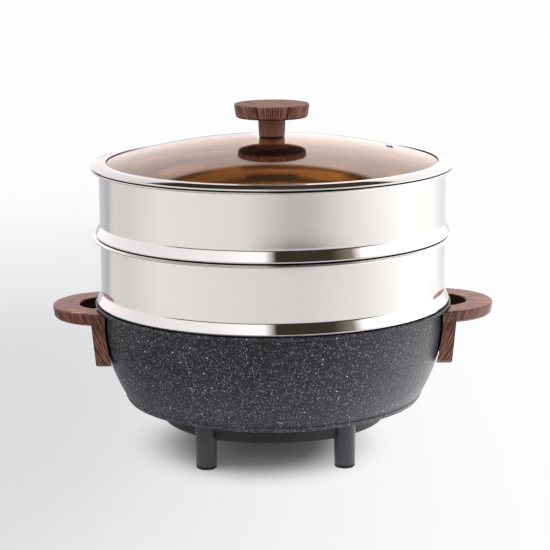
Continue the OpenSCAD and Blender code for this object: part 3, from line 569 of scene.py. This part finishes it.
    # Next to the pot the mirrored floor is painted lit again
    under = add(tree, "ShaderNodeMapRange", {"From Min": 0.2, "From Max": 0.42, "To Min": 0.6, "To Max": 0.0},
                {"Value": far.outputs["Value"]}, interpolation_type="SMOOTHSTEP")
    lit_under = add(tree, "ShaderNodeValToRGB", None, {"Fac": turn.outputs[0]},
                    [(0.12, "#c4c4c8"), (0.8, "#f4f4f8"), (0.25, "#8c8c90"), (0.40, "#b8b8bc"), (0.52, "#cecfd3"),
                     (0.62, "#f4f4f8")])
    coat_shade = add(tree, "ShaderNodeMixRGB", None, {"Fac": under.outputs[0], "Color1": close_shade.outputs[0],
                                                      "Color2": lit_under.outputs[0]})
    near = add(tree, "ShaderNodeMapRange", {"From Min": 0.55, "From Max": 0.76}, {"Value": far.outputs["Value"]},
               interpolation_type="SMOOTHSTEP")
    close_glow = add(tree, "ShaderNodeEmission", {"Strength": 1.9}, {"Color": coat_shade.outputs[0]})
    far_glow = add(tree, "ShaderNodeEmission", {"Strength": 1.25}, {"Color": patched.outputs[0]})
    mirrored = add(tree, "ShaderNodeMixShader", None,
                   {0: near.outputs[0], 1: close_glow.outputs[0], 2: far_glow.outputs[0]})
    # Mirrors see the true floor under the pot, with its shadow
    rays = add(tree, "ShaderNodeLightPath")
    clear = add(tree, "ShaderNodeMapRange", {"From Min": 0.05, "From Max": 0.14}, {"Value": far.outputs["Value"]})
    both = add(tree, "ShaderNodeMath", None, {0: rays.outputs["Is Glossy Ray"], 1: clear.outputs[0]},
               operation="MULTIPLY")
    mixed = add(tree, "ShaderNodeMixShader", None, {0: both.outputs[0], 1: seen.outputs[0], 2: mirrored.outputs[0]})
    # From below the camera sees through the floor
    below = add(tree, "ShaderNodeMath", None,
                {0: rays.outputs["Is Camera Ray"], 1: add(tree, "ShaderNodeNewGeometry").outputs["Backfacing"]},
                operation="MULTIPLY")
    open_below = add(tree, "ShaderNodeMixShader", None,
                     {0: below.outputs[0], 1: mixed.outputs[0], 2: add(tree, "ShaderNodeBsdfTransparent").outputs[0]})
    add(tree, "ShaderNodeOutputMaterial", links={"Surface": open_below.outputs[0]})
    mesh.materials.append(made)


def studio_sky():
    """Soft light, strongest from the right; mirrors see a white sweep, a dark ceiling and a dark gap in front."""
    ceiling_tilt, side_drop, side_most = 0.13, 0.6, 0.06
    plain_glow, back_glow, right_glow, lid_glow = 1.13, 0.42, 0.15, 0.22
    world = bpy.data.worlds.new("studio")
    bpy.context.scene.world = world
    world.use_nodes = True
    tree = world.node_tree
    tree.nodes.clear()
    away = add(tree, "ShaderNodeTexCoord").outputs["Generated"]
    axes = add(tree, "ShaderNodeSeparateXYZ", None, {0: away})
    # Light on matt surfaces: dim in front and behind, bright from the sides, with a soft ceiling
    across = add(tree, "ShaderNodeMapRange", {"From Min": -1.0, "From Max": 1.0}, {"Value": axes.outputs["X"]})
    sides = add(tree, "ShaderNodeValToRGB", None, {"Fac": across.outputs[0]},
                [(0.0, "#d2d2d4"), (1.0, "#fafafc"), (0.2, "#cbcbcd"), (0.35, "#a0a0a2"), (0.5, "#838385"),
                 (0.65, "#b4b4b6"), (0.8, "#e0e0e2")])
    fill = add(tree, "ShaderNodeBackground", {"Strength": 1.4}, {"Color": sides.outputs[0]})
    up = add(tree, "ShaderNodeMath", {1: 0.0}, {0: axes.outputs["Z"]}, operation="MAXIMUM")
    overhead = add(tree, "ShaderNodeMath", {1: 1.4}, {0: up.outputs[0]}, operation="MULTIPLY")
    ceiling = add(tree, "ShaderNodeBackground", {"Color": linear("#ffffff")}, {"Strength": overhead.outputs[0]})
    soft = add(tree, "ShaderNodeAddShader", None, {0: fill.outputs[0], 1: ceiling.outputs[0]})
    # What mirrors see: white up to a ceiling that starts lower behind the pot than in front of it, and higher aside
    front = add(tree, "ShaderNodeMath", {1: ceiling_tilt}, {0: axes.outputs["Y"], 2: axes.outputs["Z"]},
                operation="MULTIPLY_ADD")
    aside = add(tree, "ShaderNodeMath", None, {0: axes.outputs["X"], 1: axes.outputs["X"]}, operation="MULTIPLY")
    rise = add(tree, "ShaderNodeMath", {1: side_most}, {0: aside.outputs[0]}, operation="MINIMUM")
    height = add(tree, "ShaderNodeMath", {1: -side_drop}, {0: rise.outputs[0], 2: front.outputs[0]},
                 operation="MULTIPLY_ADD")
    sweep = add(tree, "ShaderNodeValToRGB", None, {"Fac": height.outputs[0]},
                [(0.614, "#fdfdff"), (1.0, "#d8d8d6"), (0.637, "#3a3330"), (0.86, "#3a3330"), (0.94, "#8a8886")])
    # The gap between the soft lamps, from just left of the camera to 50 degrees right of it; behind, a warmer white
    toward = add(tree, "ShaderNodeMath", {1: -1.0}, {0: axes.outputs["Y"]}, operation="MULTIPLY")
    bearing = add(tree, "ShaderNodeMath", None, {0: axes.outputs["X"], 1: toward.outputs[0]}, operation="ARCTAN2")
    turn = add(tree, "ShaderNodeMapRange", {"From Min": -math.pi, "From Max": math.pi}, {"Value": bearing.outputs[0]})
    gap = add(tree, "ShaderNodeValToRGB", None, {"Fac": turn.outputs[0]},
              [(0.10, "#e8e0e2"), (0.90, "#fff6f5"), (0.25, "#e4e4e4"), (0.38, "#f0f0f0"), (0.44, "#ffffff"),
               (0.480, "#ffffff"), (0.504, "#322c25"), (0.62, "#352f28"), (0.66, "#7d766c"), (0.682, "#ffffff"),
               (0.75, "#ffffff")])
    studio = add(tree, "ShaderNodeMixRGB", {"Fac": 1.0}, {"Color1": sweep.outputs[0], "Color2": gap.outputs[0]},
                 blend_type="MULTIPLY")
    # Low in front stands the dark room round the camera
    low = add(tree, "ShaderNodeMapRange", {"From Min": 0.26, "From Max": 0.4, "To Min": 1.0, "To Max": 0.0},
              {"Value": axes.outputs["Z"]}, interpolation_type="SMOOTHSTEP")
    before = add(tree, "ShaderNodeMapRange", {"From Min": 0.1, "From Max": 0.5}, {"Value": toward.outputs[0]},
                 interpolation_type="SMOOTHSTEP")
    dark = add(tree, "ShaderNodeMath", None, {0: low.outputs[0], 1: before.outputs[0]}, operation="MULTIPLY")
    roomed = add(tree, "ShaderNodeMixRGB", {"Color2": linear("#35302b")},
                 {"Fac": dark.outputs[0], "Color1": studio.outputs[0]})
    # Lamps behind and to the right make the sweep brighter there
    behind = add(tree, "ShaderNodeMath", {1: 0.0}, {0: axes.outputs["Y"]}, operation="MAXIMUM")
    squared = add(tree, "ShaderNodeMath", None, {0: behind.outputs[0], 1: behind.outputs[0]}, operation="MULTIPLY")
    lit_back = add(tree, "ShaderNodeMath", {1: back_glow, 2: plain_glow}, {0: squared.outputs[0]},
                   operation="MULTIPLY_ADD")
    right = add(tree, "ShaderNodeMath", {1: 0.0}, {0: axes.outputs["X"]}, operation="MAXIMUM")
    lit = add(tree, "ShaderNodeMath", {1: right_glow}, {0: right.outputs[0], 2: lit_back.outputs[0]},
              operation="MULTIPLY_ADD")
    rays = add(tree, "ShaderNodeLightPath")
    seen = add(tree, "ShaderNodeBackground", {"Color": linear("#fafafc"), "Strength": 1.0})
    mirrored = add(tree, "ShaderNodeBackground", None, {"Color": roomed.outputs[0], "Strength": lit.outputs[0]})
    shiny = add(tree, "ShaderNodeMath", None,
                {0: rays.outputs["Is Glossy Ray"], 1: rays.outputs["Is Transmission Ray"]}, operation="MAXIMUM")
    # Light that comes in through the lid: a little of the white room all round
    inside = add(tree, "ShaderNodeMath", {1: lid_glow}, {0: rays.outputs["Is Transmission Ray"]}, operation="MULTIPLY")
    through = add(tree, "ShaderNodeMixShader", None, {0: inside.outputs[0], 1: mirrored.outputs[0], 2: seen.outputs[0]})
    first = add(tree, "ShaderNodeMixShader", None, {0: shiny.outputs[0], 1: soft.outputs[0], 2: through.outputs[0]})
    second = add(tree, "ShaderNodeMixShader", None,
                 {0: rays.outputs["Is Camera Ray"], 1: first.outputs[0], 2: seen.outputs[0]})
    add(tree, "ShaderNodeOutputWorld", links={"Surface": second.outputs[0]})


def softbox(name, place, aim, width, height, glow):
    """A soft lamp at a place in metres, facing aim, whose face is glow times white and isn't mirrored."""
    lamp = bpy.data.lights.new(name, "AREA")
    lamp.shape = "RECTANGLE"
    lamp.size = width
    lamp.size_y = height
    lamp.energy = glow * math.pi * width * height
    made = bpy.data.objects.new(name, lamp)
    made.location = place
    made.rotation_euler = (Vector(aim) - Vector(place)).to_track_quat("-Z", "Y").to_euler()
    made.visible_glossy = False
    bpy.context.scene.collection.objects.link(made)


studio_floor()
studio_sky()
softbox("right_softbox", place=(1.6, 0.2, 0.9), aim=(0, 0, 0.1), width=1.4, height=1.2, glow=0.45)


# Camera, as the ellipses of the rims in the photo give it: sizes in millimetres and pixels, place in metres before the
# turn about the pot, angles in degrees

SENSOR_WIDTH, PHOTO_PIXELS, FOCAL_PIXELS = 36.0, 550, 1800
CAMERA_PLACE, CAMERA_TURN, CAMERA_DOWN, CAMERA_ROLL = (0.00193, -1.607, 0.4875), -1.0, 11.64, -0.388

lens = bpy.data.cameras.new("photo_camera")
lens.sensor_width = SENSOR_WIDTH
lens.lens = SENSOR_WIDTH * FOCAL_PIXELS / PHOTO_PIXELS
lens.clip_end = 100.0
camera = bpy.data.objects.new("photo_camera", lens)
turn = Matrix.Rotation(math.radians(CAMERA_TURN), 4, "Z")
tilt = Matrix.Rotation(math.radians(90 - CAMERA_DOWN), 4, "X")
roll = Matrix.Rotation(math.radians(CAMERA_ROLL), 4, "Z")
camera.matrix_world = turn @ Matrix.Translation(CAMERA_PLACE) @ tilt @ roll
bpy.context.scene.collection.objects.link(camera)
bpy.context.scene.camera = camera
bpy.context.scene.view_settings.view_transform = "Standard"
